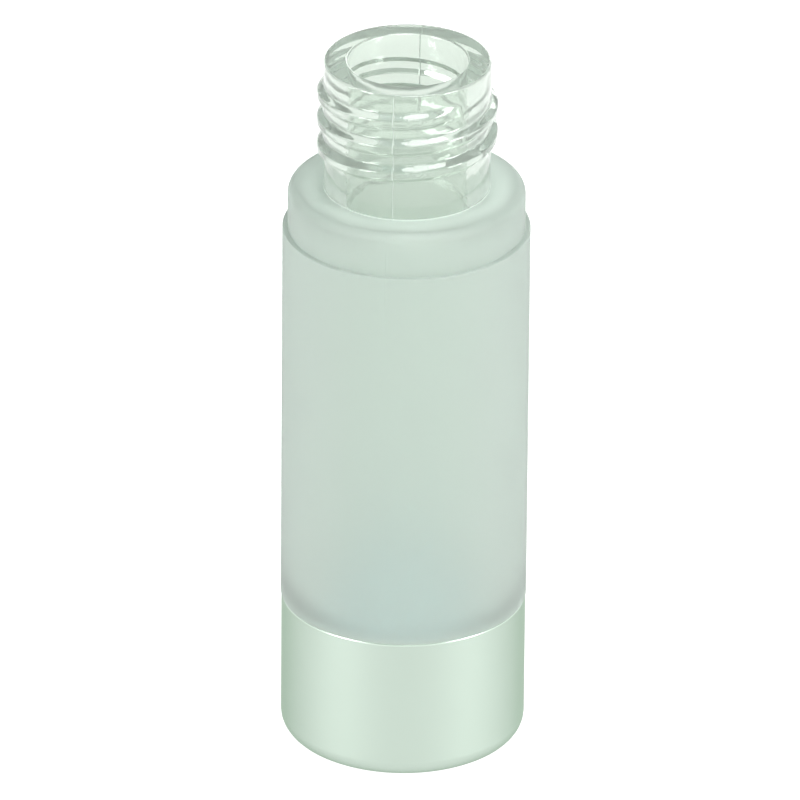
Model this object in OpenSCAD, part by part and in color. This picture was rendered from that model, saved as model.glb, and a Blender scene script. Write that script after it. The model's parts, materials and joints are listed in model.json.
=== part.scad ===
/* [Barrel] */
// Outer diameter of the barrel
barrel_d = 33; // [31:0.5:40]
// Thickness of the barrel wall
barrel_wall = 3.5; // [3:0.1:4]
// Height of the barrel from its lower rim up to the ledge
barrel_h = 54.4; // [30:0.1:100]
// Round of the barrel's lower rim and of the ledge's outer edge
barrel_edge_r = 0.15; // [0.05:0.05:0.3]

/* [Shoulder] */
// Width of the ledge that an overcap stands on
ledge_w = 0.7; // [0.4:0.1:1.2]
// Height of the band above the ledge
band_h = 6; // [4:0.5:10]
// Round of the band's upper edge
band_edge_r = 1.2; // [0.5:0.1:2]
// Thickness of the shoulder over the chamber
shoulder_t = 2.9; // [2:0.1:5]
// Hollow round between the shoulder's underside and the wall of the chamber
ceiling_r = 0.8; // [0.3:0.1:2]

/* [Neck] */
// Diameter of the neck between the threads
neck_d = 22.2; // [21:0.1:23]
// Thickness of the neck wall
neck_wall = 3.15; // [2:0.05:4]
// Height of the neck above the shoulder
neck_h = 18.3; // [14:0.1:24]
// Round of the rim's outer edge
rim_outer_r = 0.3; // [0.2:0.1:0.8]
// Round of the rim's inner edge
rim_inner_r = 0.3; // [0.2:0.1:0.6]
// Round of the edge where the neck opens into the chamber
mouth_r = 0.5; // [0.2:0.1:0.8]

/* [Thread] */
// Outside diameter of the thread
thread_d = 24; // [23.4:0.1:25]
// Rise of the thread in one turn
thread_pitch = 3.8; // [3:0.1:4.2]
// Height of the thread's first centre above the shoulder
thread_start_h = 4.1; // [3:0.1:5]
// Depth of the thread's last centre below the rim
thread_end_drop = 3.3; // [1.9:0.1:4]
// Width of the thread's crest
crest_w = 0.9; // [0.6:0.1:1.4]
// Width of the thread where it meets the neck
root_w = 2.5; // [1.8:0.1:2.8]
// Part of a turn over which each end of the thread runs out
runout_turns = 0.1; // [0.05:0.01:0.3]

/* [Spigot] */
// Thickness of the spigot wall below the barrel
spigot_wall = 1.8; // [1.4:0.1:2.2]
// Round of the spigot's lower end
spigot_edge_r = 0.3; // [0.1:0.1:0.5]

/* [Base shell] */
// Height of the metal base
shell_h = 20.4; // [18:0.1:30]
// How far the metal base stands inside the barrel's surface
shell_inset = 0.1; // [0:0.05:0.3]
// Thickness of the metal
shell_t = 0.5; // [0.3:0.05:0.6]
// Round of the bottom edge
shell_bottom_r = 2.4; // [1.5:0.1:3]
// Round of the top edge
shell_top_r = 0.2; // [0.05:0.05:0.25]
// Depth of the hollow under the base
dish_depth = 0.5; // [0.2:0.1:0.8]
// Width of the flat ring that the base stands on
stand_w = 1.6; // [1:0.1:3]
// Width of the slope between the ring and the hollow
dish_slope_w = 1.2; // [0.6:0.1:2]
// Diameter of the vent hole in the metal
shell_vent_d = 3.5; // [3:0.1:5]

/* [Base insert] */
// Thickness of the insert's floor
insert_floor_t = 1.4; // [1:0.1:2]
// Outer diameter of the ring that stops the piston
stop_ring_d = 18; // [14:0.5:20]
// Thickness of the stop ring
stop_ring_t = 1.4; // [1:0.1:2]
// Number of air slots in the stop ring, and of webs outside it
slot_count = 6; // [4:1:8]
// Width of one air slot
slot_w = 2; // [1.5:0.1:3]
// Depth of one air slot
slot_depth = 3; // [1:0.1:5]
// Thickness of a web between the stop ring and the wall
web_t = 1; // [0.8:0.1:1.6]
// Height of the webs that the spigot stands on
web_h = 2; // [1.5:0.1:3]
// Diameter of the vent hole in the insert
insert_vent_d = 2; // [1.5:0.1:2.8]

/* [Piston] */
// Height over both lips
piston_h = 9.6; // [8:0.1:13]
// Depth of the piston's upper lip below the top of the metal base
piston_drop = 0.9; // [-4:0.1:3]
// Thickness of the skirt between the lips
skirt_t = 1.1; // [0.9:0.1:1.5]
// How far the skirt stands back from the lips
skirt_back = 0.9; // [0.5:0.1:1.2]
// Height of the band that seals, on each lip
lip_band_h = 0.8; // [0.5:0.1:1.2]
// Height of the flare behind each lip
lip_flare_h = 1.5; // [1:0.1:2]
// Thickness of the lip at its edge
lip_edge_t = 0.6; // [0.4:0.1:0.9]
// Depth of the crown below the upper lip
crown_drop = 1.6; // [1:0.1:2.5]
// Thickness of the crown
crown_t = 1.2; // [0.9:0.1:2]
// Diameter of the raised centre of the crown
boss_d = 12; // [6:0.5:15]
// Height of the raised centre
boss_h = 0.8; // [0.4:0.1:1]
// Number of ribs under the crown
rib_count = 6; // [3:1:8]
// Thickness of one rib
rib_t = 0.9; // [0.7:0.1:1.2]
// Depth of the ribs below the crown
rib_depth = 4; // [2:0.1:5]
// Diameter of the hub where the ribs meet
hub_d = 5; // [4:0.5:8]

/* [Clearances] */
// Radial clearance between the piston's lips and the chamber wall
piston_clear = 0.03; // [0.02:0.01:0.06]
// Radial clearance between the spigot and the insert
spigot_clear = 0.05; // [0.02:0.01:0.1]
// Radial clearance between the insert and the metal base
insert_clear = 0.05; // [0.02:0.01:0.1]
// Gap between the metal base and the barrel's lower rim
seam_gap = 0.1; // [0.05:0.05:0.3]
// Gap between pieces that stand on each other inside the base
seat_gap = 0.05; // [0.02:0.01:0.2]

/* [Hidden] */
$fn = 128;

// Excess that keeps a cut from sharing a face with what it cuts
lap = 1;
// Overlap of a web or rib with the wall that it grows from
bite = 0.3;

// Steps of the thread in one turn, and flats of the neck under it
thread_steps = 48;
// How far the corners of the flats lie below the neck's surface
flat_drop = 0.05;
// Height of the flats above and below the thread
flat_margin = 0.2;
// How far the block of flats reaches into the round neck at each end
flat_bite = 0.1;
// Depth below the neck's surface at which the thread is as wide as its root
root_drop = 0.12;
// Depth of the thread's foot below the neck's surface
foot_drop = 0.6;
// Depth of the crest below the neck's surface at each end of the thread
runout_drop = 0.3;
// Width of the crest's rounded corners
crest_round_w = 0.25;
// Height of the crest's rounded corners
crest_round_h = 0.2;

// Radii of the bottle
barrel_r = barrel_d / 2;
chamber_r = barrel_r - barrel_wall;
band_r = barrel_r - ledge_w;
neck_r = neck_d / 2;
neck_bore_r = neck_r - neck_wall;
spigot_r = chamber_r + spigot_wall;

// Radii of the base
shell_r = barrel_r - shell_inset;
shell_bore_r = shell_r - shell_t;
shell_corner_r = shell_r - shell_bottom_r;
dish_r = shell_corner_r - stand_w - dish_slope_w;
insert_r = shell_bore_r - insert_clear;
insert_bore_r = spigot_r + spigot_clear;
insert_edge_r = shell_bottom_r - shell_t - insert_clear;
stop_r = stop_ring_d / 2;

// Radii of the piston
lip_r = chamber_r - piston_clear;
skirt_r = lip_r - skirt_back;
skirt_bore_r = skirt_r - skirt_t;

// Heights of the bottle, from the face that the base stands on
barrel_z = shell_h + seam_gap;
ledge_z = barrel_z + barrel_h;
shoulder_z = ledge_z + band_h;
ceiling_z = shoulder_z - shoulder_t;
rim_z = shoulder_z + neck_h;

// Heights of the insert
insert_z = dish_depth + shell_t + seat_gap;
floor_z = insert_z + insert_floor_t;
web_z = floor_z + web_h;
spigot_z = web_z + seat_gap;
insert_rim_z = barrel_z - seat_gap;

// Heights of the piston, at rest on the stop ring
piston_z = shell_h - piston_drop;
piston_foot_z = piston_z - piston_h;
crown_z = piston_z - crown_drop;
crown_under_z = crown_z - crown_t;
rib_under_z = crown_under_z - rib_depth;
stop_z = rib_under_z - seat_gap;

// The thread's run
thread_h = thread_d / 2 - neck_r;
thread_z = shoulder_z + thread_start_h;
thread_turns = (neck_h - thread_start_h - thread_end_drop) / thread_pitch;
flats_z = thread_z - root_w / 2 - flat_margin;
flats_end_z = rim_z - thread_end_drop + root_w / 2 + flat_margin;

// Rectangle of a half section, from radius r0 to r1 and from height z0 to z1
module block(r0, r1, z0, z1) {
    translate([r0, z0]) square([r1 - r0, z1 - z0]);
}

// What a round of radius r takes off a corner: centre [x, z], the corner on the side [sx, sz]
module corner(x, z, r, sx, sz) {
    translate([x, z]) mirror([sx < 0 ? 1 : 0, 0]) mirror([0, sz < 0 ? 1 : 0]) difference() {
        square(r + lap);
        circle(r);
    }
}

// What fills a hollow corner at [x, z] with a round of radius r, the solid on the side [sx, sz]
module hollow_corner(x, z, r, sx, sz) {
    translate([x, z]) mirror([sx < 0 ? 1 : 0, 0]) mirror([0, sz < 0 ? 1 : 0]) difference() {
        translate([-r, -r]) square(r + lap);
        translate([-r, -r]) circle(r);
    }
}

// How much of the thread's height stands at a given turn, from 0 at its ends to 1
function thread_rise(turn) =
    min(1, turn / runout_turns, (thread_turns - turn) / runout_turns);

// Profile of the thread round its centre as [radius beyond the neck, height], for a rise from 0 to 1
function thread_profile(rise) =
    let (
        top = rise * thread_h - (1 - rise) * runout_drop,
        side = top - crest_round_h,
        crest = crest_w / 2,
        root = root_w / 2
    ) [
        [-foot_drop, -root],
        [min(-root_drop, side), -root],
        [side, -crest - crest_round_w],
        [top, -crest],
        [top, crest],
        [side, crest + crest_round_w],
        [min(-root_drop, side), root],
        [-foot_drop, root]
    ];

// One ring of the thread's points, at a given turn
function thread_ring(turn) =
    [for (p = thread_profile(thread_rise(turn)))
        [
            (neck_r + p[0]) * cos(360 * turn),
            (neck_r + p[0]) * sin(360 * turn),
            thread_z + thread_pitch * turn + p[1]
        ]];

// A right-hand thread swept round the neck, one ring at each corner of the flats, its foot in the neck wall
module thread() {
    sides = len(thread_profile(1));
    steps = ceil(thread_turns * thread_steps);
    turns = [for (i = [0:steps]) min(i / thread_steps, thread_turns)];
    walls = [for (i = [0:steps - 1], j = [0:sides - 1])
        let (
            a = i * sides + j,
            b = i * sides + (j + 1) % sides
        )
        each [[a, b, b + sides], [a, b + sides, a + sides]]];
    first = [for (j = [sides - 1:-1:0]) j];
    last = [for (j = [0:sides - 1]) steps * sides + j];
    polyhedron(points = [for (turn = turns) each thread_ring(turn)], faces = concat(walls, [first], [last]));
}

// The neck under the thread, cut to flats that meet the thread's own
module flats() {
    corner_r = neck_r - flat_drop;
    translate([0, 0, flats_z - flat_bite]) linear_extrude(flats_end_z - flats_z + 2 * flat_bite)
        polygon([for (i = [0:thread_steps - 1])
            [corner_r * cos(360 * i / thread_steps), corner_r * sin(360 * i / thread_steps)]]);
}

// Solid outline of the bottle, before its bore is taken out
module bottle_outline() {
    difference() {
        union() {
            block(0, spigot_r, spigot_z, barrel_z + lap);
            block(0, barrel_r, barrel_z, ledge_z);
            block(0, band_r, ledge_z - lap, shoulder_z);
            block(0, neck_r - foot_drop, shoulder_z - lap, rim_z);
            block(0, neck_r, shoulder_z - lap, flats_z);
            block(0, neck_r, flats_end_z, rim_z);
        }
        corner(spigot_r - spigot_edge_r, spigot_z + spigot_edge_r, spigot_edge_r, 1, -1);
        corner(barrel_r - barrel_edge_r, barrel_z + barrel_edge_r, barrel_edge_r, 1, -1);
        corner(barrel_r - barrel_edge_r, ledge_z - barrel_edge_r, barrel_edge_r, 1, 1);
        corner(band_r - band_edge_r, shoulder_z - band_edge_r, band_edge_r, 1, 1);
        corner(neck_r - rim_outer_r, rim_z - rim_outer_r, rim_outer_r, 1, 1);
    }
}

// Chamber and neck bore of the bottle
module bottle_bore() {
    difference() {
        block(0, chamber_r, spigot_z - lap, ceiling_z);
        hollow_corner(chamber_r, ceiling_z, ceiling_r, 1, 1);
    }
    block(0, neck_bore_r, ceiling_z - lap, rim_z + lap);
    corner(neck_bore_r + mouth_r, ceiling_z + mouth_r, mouth_r, -1, -1);
    corner(neck_bore_r + rim_inner_r, rim_z - rim_inner_r, rim_inner_r, -1, 1);
}

module bottle() {
    color("honeydew") difference() {
        union() {
            rotate_extrude() bottle_outline();
            flats();
            thread();
        }
        rotate_extrude() bottle_bore();
    }
}

// Half section of one lip at height 0, opening upwards, with its wall down to the crown
module lip(depth) {
    polygon([
        [skirt_r, -lip_band_h - lip_flare_h],
        [lip_r, -lip_band_h],
        [lip_r, -lip_edge_t / 2],
        [lip_r - lip_edge_t / 2, 0],
        [lip_r - lip_edge_t, 0],
        [skirt_bore_r, -depth],
        [skirt_bore_r, -depth - lap]
    ]);
}

module piston() {
    color("azure") union() {
        rotate_extrude() {
            block(skirt_bore_r, skirt_r, piston_foot_z + lip_band_h, piston_z - lip_band_h);
            translate([0, piston_z]) lip(crown_drop);
            translate([0, piston_foot_z]) mirror([0, 1]) lip(crown_drop);
            block(0, skirt_r, crown_under_z, crown_z);
            block(0, boss_d / 2, crown_z - bite, crown_z + boss_h);
            block(0, hub_d / 2, rib_under_z, crown_under_z + bite);
        }
        for (i = [0:rib_count - 1])
            rotate(360 * i / rib_count) translate([0, -rib_t / 2, rib_under_z])
                cube([skirt_bore_r + bite, rib_t, rib_depth + bite]);
    }
}

module base_insert() {
    color("whitesmoke") difference() {
        union() {
            rotate_extrude() difference() {
                block(0, insert_r, insert_z, insert_rim_z);
                block(stop_r, insert_bore_r, floor_z, insert_rim_z + lap);
                block(-lap, stop_r + lap, stop_z, insert_rim_z + lap);
                block(-lap, stop_r - stop_ring_t, floor_z, insert_rim_z + lap);
                corner(shell_corner_r, shell_bottom_r, insert_edge_r, 1, -1);
            }
            for (i = [0:slot_count - 1])
                rotate(360 * i / slot_count) translate([stop_r - bite, -web_t / 2, floor_z - bite])
                    cube([insert_bore_r - stop_r + 2 * bite, web_t, web_h + bite]);
        }
        for (i = [0:slot_count - 1])
            rotate(360 * (i + 0.5) / slot_count)
                translate([stop_r - stop_ring_t - lap, -slot_w / 2, stop_z - slot_depth])
                    cube([stop_ring_t + 2 * lap, slot_w, slot_depth + lap]);
        translate([0, 0, insert_z - lap]) cylinder(d = insert_vent_d, h = insert_floor_t + 2 * lap);
    }
}

// Half section of the hollow under the base, or of the floor over it, at height z
module dish(z) {
    polygon([
        [-lap, z - lap],
        [dish_r + dish_slope_w, z - lap],
        [dish_r + dish_slope_w, z],
        [dish_r, z + dish_depth],
        [-lap, z + dish_depth]
    ]);
}

module base_shell() {
    color("silver") rotate_extrude() difference() {
        block(shell_vent_d / 2, shell_r, 0, shell_h);
        corner(shell_corner_r, shell_bottom_r, shell_bottom_r, 1, -1);
        corner(shell_r - shell_top_r, shell_h - shell_top_r, shell_top_r, 1, 1);
        dish(0);
        difference() {
            block(-lap, shell_bore_r, shell_t, shell_h + lap);
            corner(shell_corner_r, shell_bottom_r, shell_bottom_r - shell_t, 1, -1);
            dish(shell_t);
        }
    }
}

bottle();
piston();
base_insert();
base_shell();
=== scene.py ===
"""Looks of an airless bottle: its frosted moulding, follower piston, base insert and satin metal base."""
import json
import math
from typing import NamedTuple

import bpy
import numpy as np
from mathutils import Matrix, Vector


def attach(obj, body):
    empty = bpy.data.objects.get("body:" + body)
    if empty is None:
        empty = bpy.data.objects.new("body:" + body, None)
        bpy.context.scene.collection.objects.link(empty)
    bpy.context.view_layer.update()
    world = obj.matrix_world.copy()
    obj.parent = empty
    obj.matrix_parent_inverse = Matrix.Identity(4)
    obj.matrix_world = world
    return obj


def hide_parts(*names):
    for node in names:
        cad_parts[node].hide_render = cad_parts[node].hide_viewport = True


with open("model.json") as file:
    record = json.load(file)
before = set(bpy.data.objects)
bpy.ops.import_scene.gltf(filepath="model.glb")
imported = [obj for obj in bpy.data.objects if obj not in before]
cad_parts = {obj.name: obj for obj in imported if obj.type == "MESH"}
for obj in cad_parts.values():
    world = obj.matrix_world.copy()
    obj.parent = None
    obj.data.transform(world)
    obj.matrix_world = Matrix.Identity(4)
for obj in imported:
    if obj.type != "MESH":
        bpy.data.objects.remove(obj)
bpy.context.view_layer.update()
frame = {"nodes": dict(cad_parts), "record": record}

bl_info = {
    "name": "Airless Bottle",
    "version": (1, 0, 0),
    "blender": (4, 5, 0),
    "location": "3D View > Sidebar > Bottle",
    "description": "Builds a frosted airless bottle with a threaded neck and a satin metal base",
    "category": "Object",
}

MM = 0.001
FULL_TURN = 2 * math.pi


def mount(name):
    """The record's mount of that name."""
    return next(m for m in frame["record"]["mounts"] if m["name"] == name)


def rings(node):
    """Distance from the axis and height of each vertex of a CAD node."""
    vertices = frame["nodes"][node].data.vertices
    places = np.empty(len(vertices) * 3)
    vertices.foreach_get("co", places)
    x, y, z = places.reshape(-1, 3).T
    return np.hypot(x, y), z


# Loose limits that pick a zone of vertices out of a CAD solid, clear of its rounds.
SAME_FACE = 0.01 * MM
SPIGOT_ZONE = 5 * MM
BARREL_STEP = 0.5 * MM
CLEAR_OF_BORE = 0.45 * MM
CLEAR_OF_CHAMBER = 0.75 * MM
CLEAR_OF_SHOULDER = 1 * MM
THREAD_ZONE = 2 * MM
VENT_EDGE = 0.05 * MM


class BottleForm:
    """Radii and heights of the bottle, read from its CAD solid and from the record's mounts."""

    radius, height = rings("bottle")
    spigot_z = float(height.min())
    rim_z = float(height.max())
    shoulder_z = mount("shoulder_face")["pos_m"][2]
    ledge_z = mount("cap_ledge")["pos_m"][2]
    barrel_r = float(radius.max())
    band_r = mount("cap_band")["dims"]["r_mm"] * MM
    bore_r = mount("neck_bore")["dims"]["r_mm"] * MM
    chamber_r = float(radius[height < spigot_z + SAME_FACE].min())
    spigot_r = float(radius[height < spigot_z + SPIGOT_ZONE].max())
    barrel_z = float(height[radius > spigot_r + BARREL_STEP].min())
    over_chamber = (radius > bore_r + CLEAR_OF_BORE) & (radius < chamber_r - CLEAR_OF_CHAMBER)
    ceiling_z = float(np.median(height[over_chamber & (height < shoulder_z - CLEAR_OF_SHOULDER)]))
    neck_r = float(radius[np.abs(height - shoulder_z) < SAME_FACE].min())
    thread_r = float(radius[height > shoulder_z + THREAD_ZONE].max())


class ShellForm:
    """Radii and heights of the metal base, read from its CAD solid."""

    radius, height = rings("base_shell")
    shell_r = float(radius.max())
    top_z = float(height.max())
    bore_r = float(radius[height > top_z - SAME_FACE].min())
    vent_r = float(radius.min())
    dish_z = float(height[radius < vent_r + VENT_EDGE].min())
    stand_outer_r = float(radius[height < SAME_FACE].max())
    stand_inner_r = float(radius[height < SAME_FACE].min())


def length(name, description, default, low, high):
    """A length setting, shown in the scene's units."""
    return bpy.props.FloatProperty(name=name, description=description, default=default, min=low, max=high,
                                   precision=5, subtype="DISTANCE", unit="LENGTH")


def colour(name, description, default):
    """A colour setting, as linear red, green and blue."""
    return bpy.props.FloatVectorProperty(name=name, description=description, default=default, min=0, max=1,
                                         size=3, subtype="COLOR")


class BottleSizes(bpy.types.PropertyGroup):
    """Sizes of the bottle's moulded details."""

    thread_pitch: length(
        "Thread pitch", "Rise of the thread in one turn", 3.8 * MM, 2 * MM, 6 * MM)
    thread_start: length(
        "Thread start", "Height of the thread's first centre above the shoulder", 4.1 * MM, 2 * MM, 6 * MM)
    thread_end: length(
        "Thread end", "Depth of the thread's last centre below the rim", 3.3 * MM, 1 * MM, 6 * MM)
    crest_width: length(
        "Crest width", "Width of the flat top of the thread", 0.9 * MM, 0.4 * MM, 1.5 * MM)
    root_width: length(
        "Root width", "Width of the thread where it meets the neck", 2.5 * MM, 1.6 * MM, 4 * MM)
    runout: bpy.props.FloatProperty(
        name="Run-out", description="Part of a turn over which the thread ends fade",
        default=0.1, min=0.02, max=0.3)
    parting_height: length(
        "Parting line height", "How far the parting line stands out", 0.09 * MM, 0, 0.2 * MM)
    parting_width: length(
        "Parting line width", "Half width of the parting line", 0.06 * MM, 0.02 * MM, 0.2 * MM)
    parting_angle: bpy.props.FloatProperty(
        name="Parting line place", description="Angle of the parting line round the axis",
        default=math.radians(-99.5), subtype="ANGLE", unit="ROTATION")


class BottleColours(bpy.types.PropertyGroup):
    """Colours of the pieces and of the studio floor."""

    clear: colour("Clear plastic", "Tint of the polished moulding", (0.685, 0.755, 0.69))
    frosted: colour("Frosted plastic", "Tint of the frosted surface", (0.55, 0.62, 0.575))
    metal: colour("Satin metal", "Tint of the metal base", (0.445, 0.52, 0.46))
    piston: colour("Piston", "Colour of the follower piston", (0.68, 0.86, 1.0))
    insert: colour("Insert", "Colour of the base insert", (0.78, 0.82, 0.79))
    floor: colour("Floor", "Colour of the studio floor", (0.2, 0.2, 0.2))


class Corner(NamedTuple):
    """A corner of an outline: distance from the axis, height, round, and longest step towards the next."""

    r: float
    z: float
    round: float
    step: float


# Most that an arc bends between two of its points, and fewest steps that an arc has.
ARC_STEP = math.radians(13)
ARC_LEAST = 2
# Distance from a side's end to the point that keeps its shading flat, and the most of a side that it takes.
HOLD = 0.12 * MM
HOLD_PART = 0.25


def corner_arc(place, before, after, size):
    """Points of the arc that rounds a corner, given the directions of the sides before and after it.

    It touches each side at its round times the tangent of half the turn away from the corner. Its centre
    lies at a right angle to the side before, by the round, and its points turn about that centre.
    """
    turn = math.atan2(before[0] * after[1] - before[1] * after[0], before @ after)
    reach = size * math.tan(abs(turn) / 2)
    start = place - before * reach
    centre = start + math.copysign(size, turn) * np.array([-before[1], before[0]])
    steps = max(ARC_LEAST, math.ceil(abs(turn) / ARC_STEP))
    bend = np.linspace(0, turn, steps + 1)
    spoke = start - centre
    return centre + np.column_stack([
        spoke[0] * np.cos(bend) - spoke[1] * np.sin(bend),
        spoke[0] * np.sin(bend) + spoke[1] * np.cos(bend),
    ])


def straight_side(start, end, longest):
    """Points of the side between two arcs: even steps, with the outermost points close to its ends."""
    span = np.linalg.norm(end - start)
    hold = min(HOLD, span * HOLD_PART)
    steps = max(1, math.ceil((span - 2 * hold) / longest))
    share = np.linspace(hold, span - hold, steps + 1) / span
    return start + share[:, None] * (end - start)


def outline(corners):
    """Closed outline through the corners, as places and as parts.

    A part is the corner's number on its arc, and the number plus a half on the side that follows it.
    """
    places = np.array([[c.r, c.z] for c in corners])
    along = np.roll(places, -1, 0) - places
    along /= np.linalg.norm(along, axis=1)[:, None]
    arcs = [corner_arc(places[i], along[i - 1], along[i], c.round) for i, c in enumerate(corners)]
    rows = []
    parts = []
    for i, corner in enumerate(corners):
        following = arcs[(i + 1) % len(arcs)]
        side = straight_side(arcs[i][-1], following[0], corner.step)
        rows += [arcs[i], side]
        parts += [np.full(len(arcs[i]), float(i)), np.full(len(side), i + 0.5)]
    return np.vstack(rows), np.concatenate(parts)


def ring_mesh(name, places, angles, push, values):
    """Closed outline carried round the axis.

    The point of outline place (r, z) at angle a is ((r + push) cos a, (r + push) sin a, z), with push given
    for each place and angle. The grid closes on itself both ways, and its faces look outwards. Values are
    kept on the points under their names, for the finish.
    """
    radius = places[:, :1] + push
    height = np.broadcast_to(places[:, 1:], radius.shape)
    grid = np.stack([radius * np.cos(angles), radius * np.sin(angles), height], axis=-1)
    rows, columns = radius.shape
    number = np.arange(rows * columns).reshape(rows, columns)
    right = np.roll(number, -1, 1)
    above = np.roll(number, -1, 0)
    beyond = np.roll(right, -1, 0)
    faces = np.stack([number, right, beyond, above], axis=-1).reshape(-1, 4)
    mesh = bpy.data.meshes.new(name)
    mesh.from_pydata(grid.reshape(-1, 3).tolist(), [], faces.tolist())
    for label, value in values.items():
        attribute = mesh.attributes.new(label, "FLOAT", "POINT")
        attribute.data.foreach_set("value", np.broadcast_to(value, radius.shape).ravel().astype(np.float32))
    mesh.shade_smooth()
    return mesh


def smooth_step(share):
    """Share from 0 to 1, level at both ends: 3 s squared minus 2 s cubed."""
    share = np.clip(share, 0, 1)
    return share * share * (3 - 2 * share)


# Part of the thread's flank that is a straight slope. The rest of it is rounded.
STRAIGHT_FLANK = 0.7


def thread_height(angles, heights, sizes):
    """How far the thread stands out of the neck, for each angle and height.

    Its centre climbs one pitch a turn from its first height. Across the centre the height falls from the
    crest's edge to the root's edge, and towards each end of the helix it fades over the run-out.
    """
    form = BottleForm
    first = form.shoulder_z + sizes.thread_start
    turns = (form.rim_z - sizes.thread_end - first) / sizes.thread_pitch
    flank = (sizes.root_width - sizes.crest_width) / 2
    tallest = np.zeros(np.broadcast(angles, heights).shape)
    for whole in range(math.ceil(turns) + 1):
        turn = angles / FULL_TURN + whole
        away = np.abs(heights - first - sizes.thread_pitch * turn)
        ends = smooth_step(np.minimum(turn, turns - turn) / sizes.runout)
        slope = np.clip((sizes.root_width / 2 - away) / flank, 0, 1)
        across = STRAIGHT_FLANK * slope + (1 - STRAIGHT_FLANK) * smooth_step(slope)
        tallest = np.maximum(tallest, ends * across)
    return tallest * (form.thread_r - form.neck_r)


# The parting line starts at this height and grows to its full height over this length.
PARTING_FOOT = 62 * MM
PARTING_GROWTH = 14 * MM
# What etching leaves of it below the shoulder, and how frosted it looks on the clear neck.
PARTING_ETCHED = 0.4
PARTING_FROST = 0.45


def parting_line(angles, radii, heights, sizes):
    """Ridge left by the two mould halves, from 0 to 1, at two opposite angles.

    It is a bell curve of the distance round the surface, and it fades out down the barrel.
    """
    turned = (angles - sizes.parting_angle) % math.pi
    away = np.minimum(turned, math.pi - turned) * radii
    grown = smooth_step((heights - PARTING_FOOT) / PARTING_GROWTH)
    etched = np.where(heights > BottleForm.shoulder_z, 1, PARTING_ETCHED)
    return grown * etched * np.exp(-(away / sizes.parting_width) ** 2)


# Even columns round the axis, and the degrees from a parting line at which more are added.
COLUMNS = 288
PARTING_COLUMNS = np.array([-0.6, -0.4, -0.25, -0.12, 0, 0.12, 0.25, 0.4, 0.6])
# Digits of an angle in radians that tell two columns apart.
ANGLE_DIGITS = 5


def even_angles():
    """Even angles round the axis."""
    return np.arange(COLUMNS) * FULL_TURN / COLUMNS


def bottle_angles(sizes):
    """Even angles round the axis, with close ones added at the two parting lines."""
    close = sizes.parting_angle + np.radians(PARTING_COLUMNS)
    angles = np.concatenate([even_angles(), close, close + math.pi]) % FULL_TURN
    return np.unique(np.round(angles, ANGLE_DIGITS))


class BottleRounds:
    """Rounds of the bottle's edges."""

    spigot_foot = 0.3 * MM
    barrel_foot = 0.05 * MM
    barrel_top = 0.15 * MM
    ledge = 0.05 * MM
    shoulder = 1.2 * MM
    neck_root = 0.12 * MM
    rim = 0.3 * MM
    bore_foot = 0.5 * MM
    ceiling = 0.8 * MM
    chamber_mouth = 0.1 * MM


# How much lower the barrel's foot sits than the CAD's, so that no gap shows above the metal base.
FOOT_DROP = 0.07 * MM
# The shoulder's top starts this far inside the band's wall and is reached over this width.
# There its frosted colour is made paler, as painted light.
SHOULDER_EDGE = 0.6 * MM
SHOULDER_BLEND = 2.6 * MM


def bottle_mesh(sizes):
    """The bottle: one closed wall from the spigot up the outside, over the rim and down the bore.

    Its points keep two values: frost, 1 on the etched outside and part of that on the parting line, and
    shoulder_top, which goes from 0 on the walls to 1 on the flat round the neck, where the finish paints
    light by making the frosted colour paler.
    """
    form = BottleForm
    rounds = BottleRounds
    coarse = 4 * MM
    flat = 1 * MM
    fine = 0.13 * MM
    foot_z = form.barrel_z - FOOT_DROP
    corners = [
        Corner(form.spigot_r, form.spigot_z, rounds.spigot_foot, coarse),
        Corner(form.spigot_r, foot_z, rounds.barrel_foot, flat),
        Corner(form.barrel_r, foot_z, rounds.barrel_foot, coarse),
        Corner(form.barrel_r, form.ledge_z, rounds.barrel_top, flat),
        Corner(form.band_r, form.ledge_z, rounds.ledge, flat),
        Corner(form.band_r, form.shoulder_z, rounds.shoulder, flat),
        Corner(form.neck_r, form.shoulder_z, rounds.neck_root, fine),
        Corner(form.neck_r, form.rim_z, rounds.rim, flat),
        Corner(form.bore_r, form.rim_z, rounds.rim, coarse),
        Corner(form.bore_r, form.ceiling_z, rounds.bore_foot, flat),
        Corner(form.chamber_r, form.ceiling_z, rounds.ceiling, coarse),
        Corner(form.chamber_r, form.spigot_z, rounds.chamber_mouth, flat),
    ]
    barrel_foot, neck_root, rim = 2, 6, 7
    places, parts = outline(corners)
    angles = bottle_angles(sizes)
    radius, height, part = places[:, :1], places[:, 1:], parts[:, None]
    neck = (part > neck_root) & (part < rim)
    outside = (part >= barrel_foot) & (part < rim)
    etched = (part >= barrel_foot) & (part <= neck_root)
    ridge = parting_line(angles, radius, height, sizes) * outside
    push = thread_height(angles, height, sizes) * neck + sizes.parting_height * ridge
    frost = np.maximum(etched, PARTING_FROST * ridge)
    # Painted light: 1 on the flat round the neck, where the frosted colour is made paler, and 0 on the walls.
    shoulder_top = smooth_step((form.band_r - SHOULDER_EDGE - radius) / SHOULDER_BLEND)
    return ring_mesh("bottle_moulding", places, angles, push, {"frost": frost, "shoulder_top": shoulder_top})


class ShellRounds:
    """Rounds of the metal base's edges. Its bottom edge takes the CAD's own."""

    top_outside = 0.2 * MM
    top_inside = 0.08 * MM
    hollow = 0.5 * MM
    vent = 0.1 * MM


# Width of the slope between the ring that the base stands on and the hollow.
HOLLOW_SLOPE = 1.2 * MM


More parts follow.
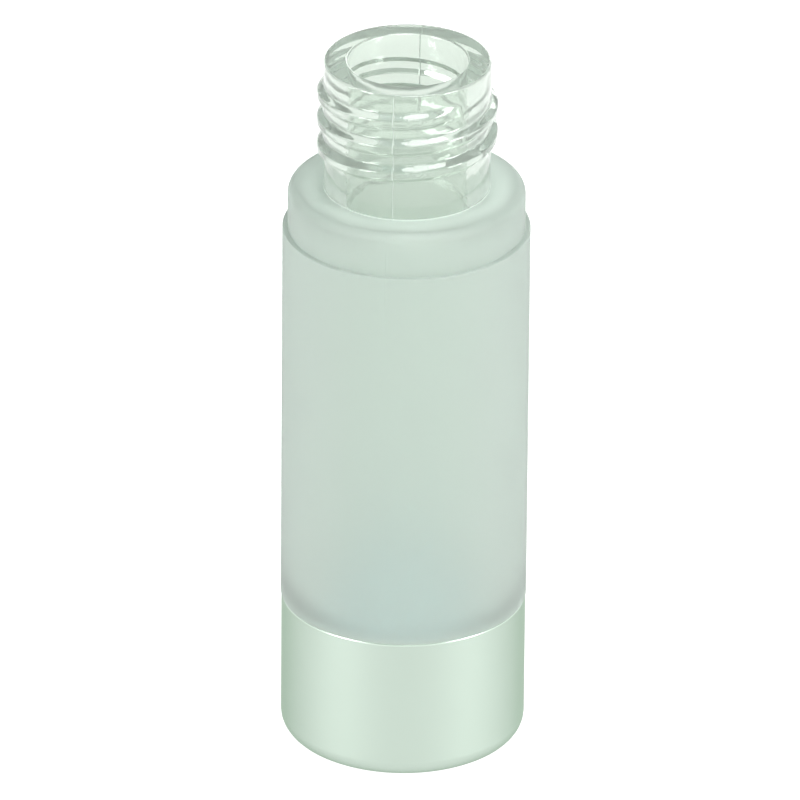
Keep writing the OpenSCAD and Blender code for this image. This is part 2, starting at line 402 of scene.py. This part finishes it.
def shell_mesh():
    """The metal base: a drawn cup with a round bottom edge, a shallow hollow underneath and a vent hole.

    Its points keep cut_edge, 1 on the trimmed edge round the top and 0 elsewhere. On that edge the finish
    lightens the colour as a painted highlight.
    """
    form = ShellForm
    rounds = ShellRounds
    metal = form.shell_r - form.bore_r
    hollow_r = form.stand_inner_r - HOLLOW_SLOPE
    coarse = 2 * MM
    flat = 1 * MM
    corners = [
        Corner(form.shell_r, 0, form.shell_r - form.stand_outer_r, coarse),
        Corner(form.shell_r, form.top_z, rounds.top_outside, flat),
        Corner(form.bore_r, form.top_z, rounds.top_inside, coarse),
        Corner(form.bore_r, metal, form.bore_r - form.stand_outer_r, coarse),
        Corner(form.stand_inner_r, metal, rounds.hollow, flat),
        Corner(hollow_r, form.dish_z + metal, rounds.hollow, coarse),
        Corner(form.vent_r, form.dish_z + metal, rounds.vent, flat),
        Corner(form.vent_r, form.dish_z, rounds.vent, coarse),
        Corner(hollow_r, form.dish_z, rounds.hollow, flat),
        Corner(form.stand_inner_r, 0, rounds.hollow, flat),
    ]
    top_outside = 1
    places, parts = outline(corners)
    push = np.zeros((len(places), COLUMNS))
    # The trimmed top edge, where the finish lightens the colour as a painted highlight.
    cut_edge = parts[:, None] == top_outside
    return ring_mesh("metal_base", places, even_angles(), push, {"cut_edge": cut_edge})


class Wire:
    """An output of a shader node. Sums and products of it add their own Math nodes."""

    def __init__(self, finish, socket):
        self.finish = finish
        self.socket = socket

    def maths(self, operation, *values):
        """A Math node of that operation on the values."""
        return self.finish.node("ShaderNodeMath", {"operation": operation}, dict(enumerate(values)))

    def __add__(self, other):
        return self.maths("ADD", self, other)

    __radd__ = __add__

    def __mul__(self, other):
        return self.maths("MULTIPLY", self, other)

    __rmul__ = __mul__


# Places of a Mix node's sockets when it mixes colours.
MIX_FACTOR = 0
MIX_FIRST = 6
MIX_SECOND = 7
MIX_RESULT = 2


class Finish:
    """A material under construction."""

    def __init__(self, name):
        self.material = bpy.data.materials.new(name)
        self.material.use_nodes = True
        self.tree = self.material.node_tree
        self.tree.nodes.clear()

    def node(self, kind, settings=None, inputs=None, output=0):
        """Adds a node and returns one of its outputs, if it has any.

        Its type comes first, then its settings, then the values or wires of its inputs.
        """
        node = self.tree.nodes.new(kind)
        for key, value in (settings or {}).items():
            setattr(node, key, value)
        for key, value in (inputs or {}).items():
            if isinstance(value, Wire):
                self.tree.links.new(value.socket, node.inputs[key])
            else:
                node.inputs[key].default_value = value
        return Wire(self, node.outputs[output]) if node.outputs else None

    def noise(self, size):
        """Cloudy noise from 0 to 1 on the piece, whose features are about that many metres across."""
        place = self.node("ShaderNodeTexCoord", output="Object")
        inputs = {"Vector": place, "Scale": 1 / size, "Detail": 2}
        return self.node("ShaderNodeTexNoise", {"noise_dimensions": "3D"}, inputs, output="Fac")

    def attribute(self, name):
        """A value kept on the piece's own points."""
        return self.node("ShaderNodeAttribute", {"attribute_name": name}, output="Fac")

    def drift(self, share, colour, darkest, lightest=1):
        """Colour that goes from its darkest to its lightest shade, each given as a factor."""
        first, second = ((*(part * factor for part in colour), 1) for factor in (darkest, lightest))
        colours = {MIX_FACTOR: share, MIX_FIRST: first, MIX_SECOND: second}
        return self.node("ShaderNodeMix", {"data_type": "RGBA"}, colours, output=MIX_RESULT)

    def bump(self, height, distance):
        """Normal of a surface that stands out by height times distance."""
        return self.node("ShaderNodeBump", None, {"Height": height, "Distance": distance}, output="Normal")

    def surface(self, inputs):
        """A Principled shader."""
        return self.node("ShaderNodeBsdfPrincipled", None, inputs)

    def join(self, share, first, second):
        """Shader that goes from the first to the second."""
        return self.node("ShaderNodeMixShader", None, {0: share, 1: first, 2: second})

    def close(self, shader):
        """Sends the shader to the material's output and returns the material."""
        self.node("ShaderNodeOutputMaterial", None, {"Surface": shader})
        return self.material


def moulding_finish(colours):
    """Clear plastic, polished on the neck and inside, and finely frosted where the mould was etched.

    The frosted top of the shoulder passes less light than the frosted walls, and its colour is made paler as
    painted light.
    """
    finish = Finish("frosted_clear_plastic")
    cloud = finish.noise(size=9 * MM)
    grain = finish.noise(size=0.09 * MM)
    ripple = finish.noise(size=1.4 * MM)

    def frosted(darkest, lightest, transmission):
        """Fine-grained frosted surface."""
        return finish.surface({
            "Base Color": finish.drift(cloud, colours.frosted, darkest, lightest),
            "Roughness": 0.58 + 0.08 * grain,
            "IOR": 1.5,
            "Transmission Weight": transmission,
            "Normal": finish.bump(grain, distance=0.003 * MM),
        })

    polished = finish.surface({
        "Base Color": finish.drift(cloud, colours.clear, darkest=0.985),
        "Roughness": 0.01 + 0.02 * cloud,
        "IOR": 1.57,
        "Transmission Weight": 0.85,
        "Normal": finish.bump(ripple, distance=0.03 * MM),
    })
    walls = frosted(darkest=0.98, lightest=1, transmission=0.7)
    # The shoulder's top: its colour made paler as painted light, and less light passed through.
    shoulder = frosted(darkest=1.18, lightest=1.2, transmission=0.5)
    etched = finish.join(finish.attribute("shoulder_top"), walls, shoulder)
    return finish.close(finish.join(finish.attribute("frost"), polished, etched))


def metal_finish(colours):
    """Anodised aluminium with a fine satin grain, and a smoother top edge lightened as a painted highlight.
    """
    finish = Finish("satin_metal")
    cloud = finish.noise(size=7 * MM)
    grain = finish.noise(size=0.07 * MM)
    satin = finish.surface({
        "Base Color": finish.drift(cloud, colours.metal, darkest=0.97),
        "Metallic": 1.0,
        "Specular Tint": (0.45, 0.55, 0.45, 1),
        "Roughness": 0.42 + 0.06 * grain,
        "Normal": finish.bump(grain, distance=0.002 * MM),
    })
    # The trimmed top edge: smoother, and its colour lightened as a painted highlight.
    painted_highlight_cut = finish.surface({
        "Base Color": finish.drift(cloud, colours.metal, darkest=1.2, lightest=1.25),
        "Metallic": 1.0,
        "Roughness": 0.3 + 0.05 * grain,
    })
    return finish.close(finish.join(finish.attribute("cut_edge"), satin, painted_highlight_cut))


def waxy_finish(name, colour, roughness):
    """Moulded waxy plastic, even all over but for slight flow marks."""
    finish = Finish(name)
    cloud = finish.noise(size=4 * MM)
    grain = finish.noise(size=0.15 * MM)
    return finish.close(finish.surface({
        "Base Color": finish.drift(cloud, colour, darkest=0.95),
        "Roughness": roughness + 0.1 * grain,
        "Normal": finish.bump(grain, distance=0.004 * MM),
    }))


def floor_finish(colours):
    """Matt floor that glows evenly from within, like a light table, so that it looks white."""
    finish = Finish("pale_floor")
    cloud = finish.noise(size=60 * MM)
    return finish.close(finish.surface({
        "Base Color": finish.drift(cloud, colours.floor, darkest=0.99),
        "Roughness": 0.9,
        "Emission Color": (1, 1, 1, 1),
        "Emission Strength": 1.0,
    }))


def add_piece(mesh, body, replaced, material):
    """Puts a finished mesh into the scene under its own name, riding on its body in place of its CAD node."""
    piece = bpy.data.objects.new(mesh.name, mesh)
    bpy.context.scene.collection.objects.link(piece)
    mesh.materials.append(material)
    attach(piece, body)
    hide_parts(replaced)


def dress(node, material):
    """Gives a CAD node a material in place of its packed one."""
    slots = frame["nodes"][node].data.materials
    slots.clear()
    slots.append(material)


class BOTTLE_OT_moulding(bpy.types.Operator):
    """Build the frosted bottle with its threaded neck"""

    bl_idname = "airless.moulding"
    bl_label = "Bottle moulding"

    def execute(self, context):
        """Makes the mesh and puts it in place of the bottle's CAD solid."""
        scene = context.scene
        add_piece(bottle_mesh(scene.bottle_sizes), "bottle", "bottle",
                  moulding_finish(scene.bottle_colours))
        return {"FINISHED"}


class BOTTLE_OT_metal_base(bpy.types.Operator):
    """Build the satin metal base"""

    bl_idname = "airless.metal_base"
    bl_label = "Metal base"

    def execute(self, context):
        """Makes the mesh and puts it in place of the shell's CAD solid."""
        add_piece(shell_mesh(), "bottle", "base_shell",
                  metal_finish(context.scene.bottle_colours))
        return {"FINISHED"}


class BOTTLE_OT_inner_parts(bpy.types.Operator):
    """Give the piston and the base insert their finish"""

    bl_idname = "airless.inner_parts"
    bl_label = "Inner parts"

    def execute(self, context):
        """Gives both CAD nodes a waxy plastic."""
        colours = context.scene.bottle_colours
        dress("piston", waxy_finish("piston_plastic", colours.piston, roughness=0.38))
        dress("base_insert", waxy_finish("insert_plastic", colours.insert, roughness=0.45))
        return {"FINISHED"}


VIEW_ANGLE = math.radians(26.901)
VIEW_ROLL = math.radians(0.480)
VIEW_DISTANCE = 2.0593
VIEW_AIM = Vector((-0.669 * MM, 0, 48.756 * MM))
LENS_MM = 693.4
SENSOR_MM = 36


def add_camera():
    """Long lens from in front, looking down on the shoulder as the photograph does."""
    data = bpy.data.cameras.new("camera")
    data.lens = LENS_MM
    data.sensor_width = SENSOR_MM
    camera = bpy.data.objects.new("camera", data)
    back = Vector((0, -math.cos(VIEW_ANGLE), math.sin(VIEW_ANGLE)))
    turn = Matrix.Rotation(math.pi / 2 - VIEW_ANGLE, 4, "X") @ Matrix.Rotation(VIEW_ROLL, 4, "Z")
    camera.matrix_world = Matrix.Translation(VIEW_AIM + VIEW_DISTANCE * back) @ turn
    bpy.context.scene.collection.objects.link(camera)
    bpy.context.scene.camera = camera


class Softbox(NamedTuple):
    """A soft light: where it stands in degrees, its width and height in metres and its power in watts.

    Azimuth 0 is the camera's side and 90 is the right.
    """

    name: str
    azimuth: float
    elevation: float
    width: float
    height: float
    power: float


SOFTBOX_DISTANCE = 1.2
SOFTBOXES = (
    Softbox("right_softbox", azimuth=60, elevation=14, width=0.4, height=0.7, power=11.5),
    Softbox("left_softbox", azimuth=-54, elevation=14, width=0.4, height=0.7, power=11),
    Softbox("overhead_softbox", azimuth=40, elevation=80, width=0.6, height=0.6, power=9),
    Softbox("front_softbox", azimuth=8, elevation=44, width=0.5, height=0.35, power=3.5),
    Softbox("back_softbox", azimuth=165, elevation=16, width=0.4, height=0.7, power=2.5),
)
WORLD_COLOUR = (0.92, 1, 0.95, 1)
WORLD_STRENGTH = 0.65


def add_softbox(softbox):
    """Rectangular light aimed at the middle of the bottle."""
    data = bpy.data.lights.new(softbox.name, "AREA")
    data.shape = "RECTANGLE"
    data.size = softbox.width
    data.size_y = softbox.height
    data.energy = softbox.power
    light = bpy.data.objects.new(softbox.name, data)
    azimuth = math.radians(softbox.azimuth)
    elevation = math.radians(softbox.elevation)
    level = math.cos(elevation)
    back = Vector((math.sin(azimuth) * level, -math.cos(azimuth) * level, math.sin(elevation)))
    aim = Vector((0, 0, BottleForm.rim_z / 2))
    light.location = aim + SOFTBOX_DISTANCE * back
    light.rotation_mode = "QUATERNION"
    light.rotation_quaternion = back.to_track_quat("Z", "Y")
    bpy.context.scene.collection.objects.link(light)


def add_world():
    """Even light from all round, slightly green."""
    world = bpy.data.worlds.new("studio_light")
    world.use_nodes = True
    background = world.node_tree.nodes["Background"]
    background.inputs["Color"].default_value = WORLD_COLOUR
    background.inputs["Strength"].default_value = WORLD_STRENGTH
    bpy.context.scene.world = world


# Rings of the floor in metres, columns round it, and its height, just under the bottle.
FLOOR_RADII = (0.02, 0.1, 0.4, 1.2, 3.0)
FLOOR_COLUMNS = 64
FLOOR_Z = -0.02 * MM


def floor_mesh():
    """Round floor: rings of radius r and angle a at one height, closed by a point in the middle."""
    radii = np.array(FLOOR_RADII)[:, None]
    angles = np.arange(FLOOR_COLUMNS) * FULL_TURN / FLOOR_COLUMNS
    shape = (len(FLOOR_RADII), FLOOR_COLUMNS)
    grid = np.stack([radii * np.cos(angles), radii * np.sin(angles), np.full(shape, FLOOR_Z)], axis=-1)
    number = np.arange(1, radii.size * FLOOR_COLUMNS + 1).reshape(shape)
    right = np.roll(number, -1, 1)
    faces = np.stack([number[:-1], number[1:], right[1:], right[:-1]], axis=-1).reshape(-1, 4)
    middle = np.stack([np.zeros(FLOOR_COLUMNS, int), number[0], right[0]], axis=-1)
    mesh = bpy.data.meshes.new("studio_floor")
    mesh.from_pydata([[0, 0, FLOOR_Z], *grid.reshape(-1, 3).tolist()], [], middle.tolist() + faces.tolist())
    return mesh


class BOTTLE_OT_studio(bpy.types.Operator):
    """Build the floor, the soft lights and the camera"""

    bl_idname = "airless.studio"
    bl_label = "Studio"

    def execute(self, context):
        """Adds what surrounds the bottle. None of it is part of the bottle."""
        mesh = floor_mesh()
        mesh.materials.append(floor_finish(context.scene.bottle_colours))
        floor = bpy.data.objects.new("studio_floor", mesh)
        context.scene.collection.objects.link(floor)
        add_world()
        for softbox in SOFTBOXES:
            add_softbox(softbox)
        add_camera()
        context.scene.view_settings.view_transform = "Standard"
        return {"FINISHED"}


class BOTTLE_PT_panel(bpy.types.Panel):
    """Sidebar panel with the bottle's sizes, colours and building steps"""

    bl_label = "Airless Bottle"
    bl_idname = "BOTTLE_PT_panel"
    bl_space_type = "VIEW_3D"
    bl_region_type = "UI"
    bl_category = "Bottle"

    def draw(self, context):
        """Lists the settings, then one button for each step."""
        for group in (context.scene.bottle_sizes, context.scene.bottle_colours):
            for name in group.__annotations__:
                self.layout.prop(group, name)
        for step in STEPS:
            self.layout.operator(step.bl_idname)


STEPS = (BOTTLE_OT_moulding, BOTTLE_OT_metal_base, BOTTLE_OT_inner_parts, BOTTLE_OT_studio)
CLASSES = (BottleSizes, BottleColours, *STEPS, BOTTLE_PT_panel)


def register():
    """Registers the classes and gives each scene its settings."""
    for cls in CLASSES:
        bpy.utils.register_class(cls)
    bpy.types.Scene.bottle_sizes = bpy.props.PointerProperty(type=BottleSizes)
    bpy.types.Scene.bottle_colours = bpy.props.PointerProperty(type=BottleColours)


def unregister():
    """Takes the settings and the classes away again."""
    del bpy.types.Scene.bottle_colours
    del bpy.types.Scene.bottle_sizes
    for cls in reversed(CLASSES):
        bpy.utils.unregister_class(cls)


def main():
    """Builds every piece and the studio."""
    register()
    bpy.ops.airless.moulding()
    bpy.ops.airless.metal_base()
    bpy.ops.airless.inner_parts()
    bpy.ops.airless.studio()


if __name__ == "__main__":
    main()
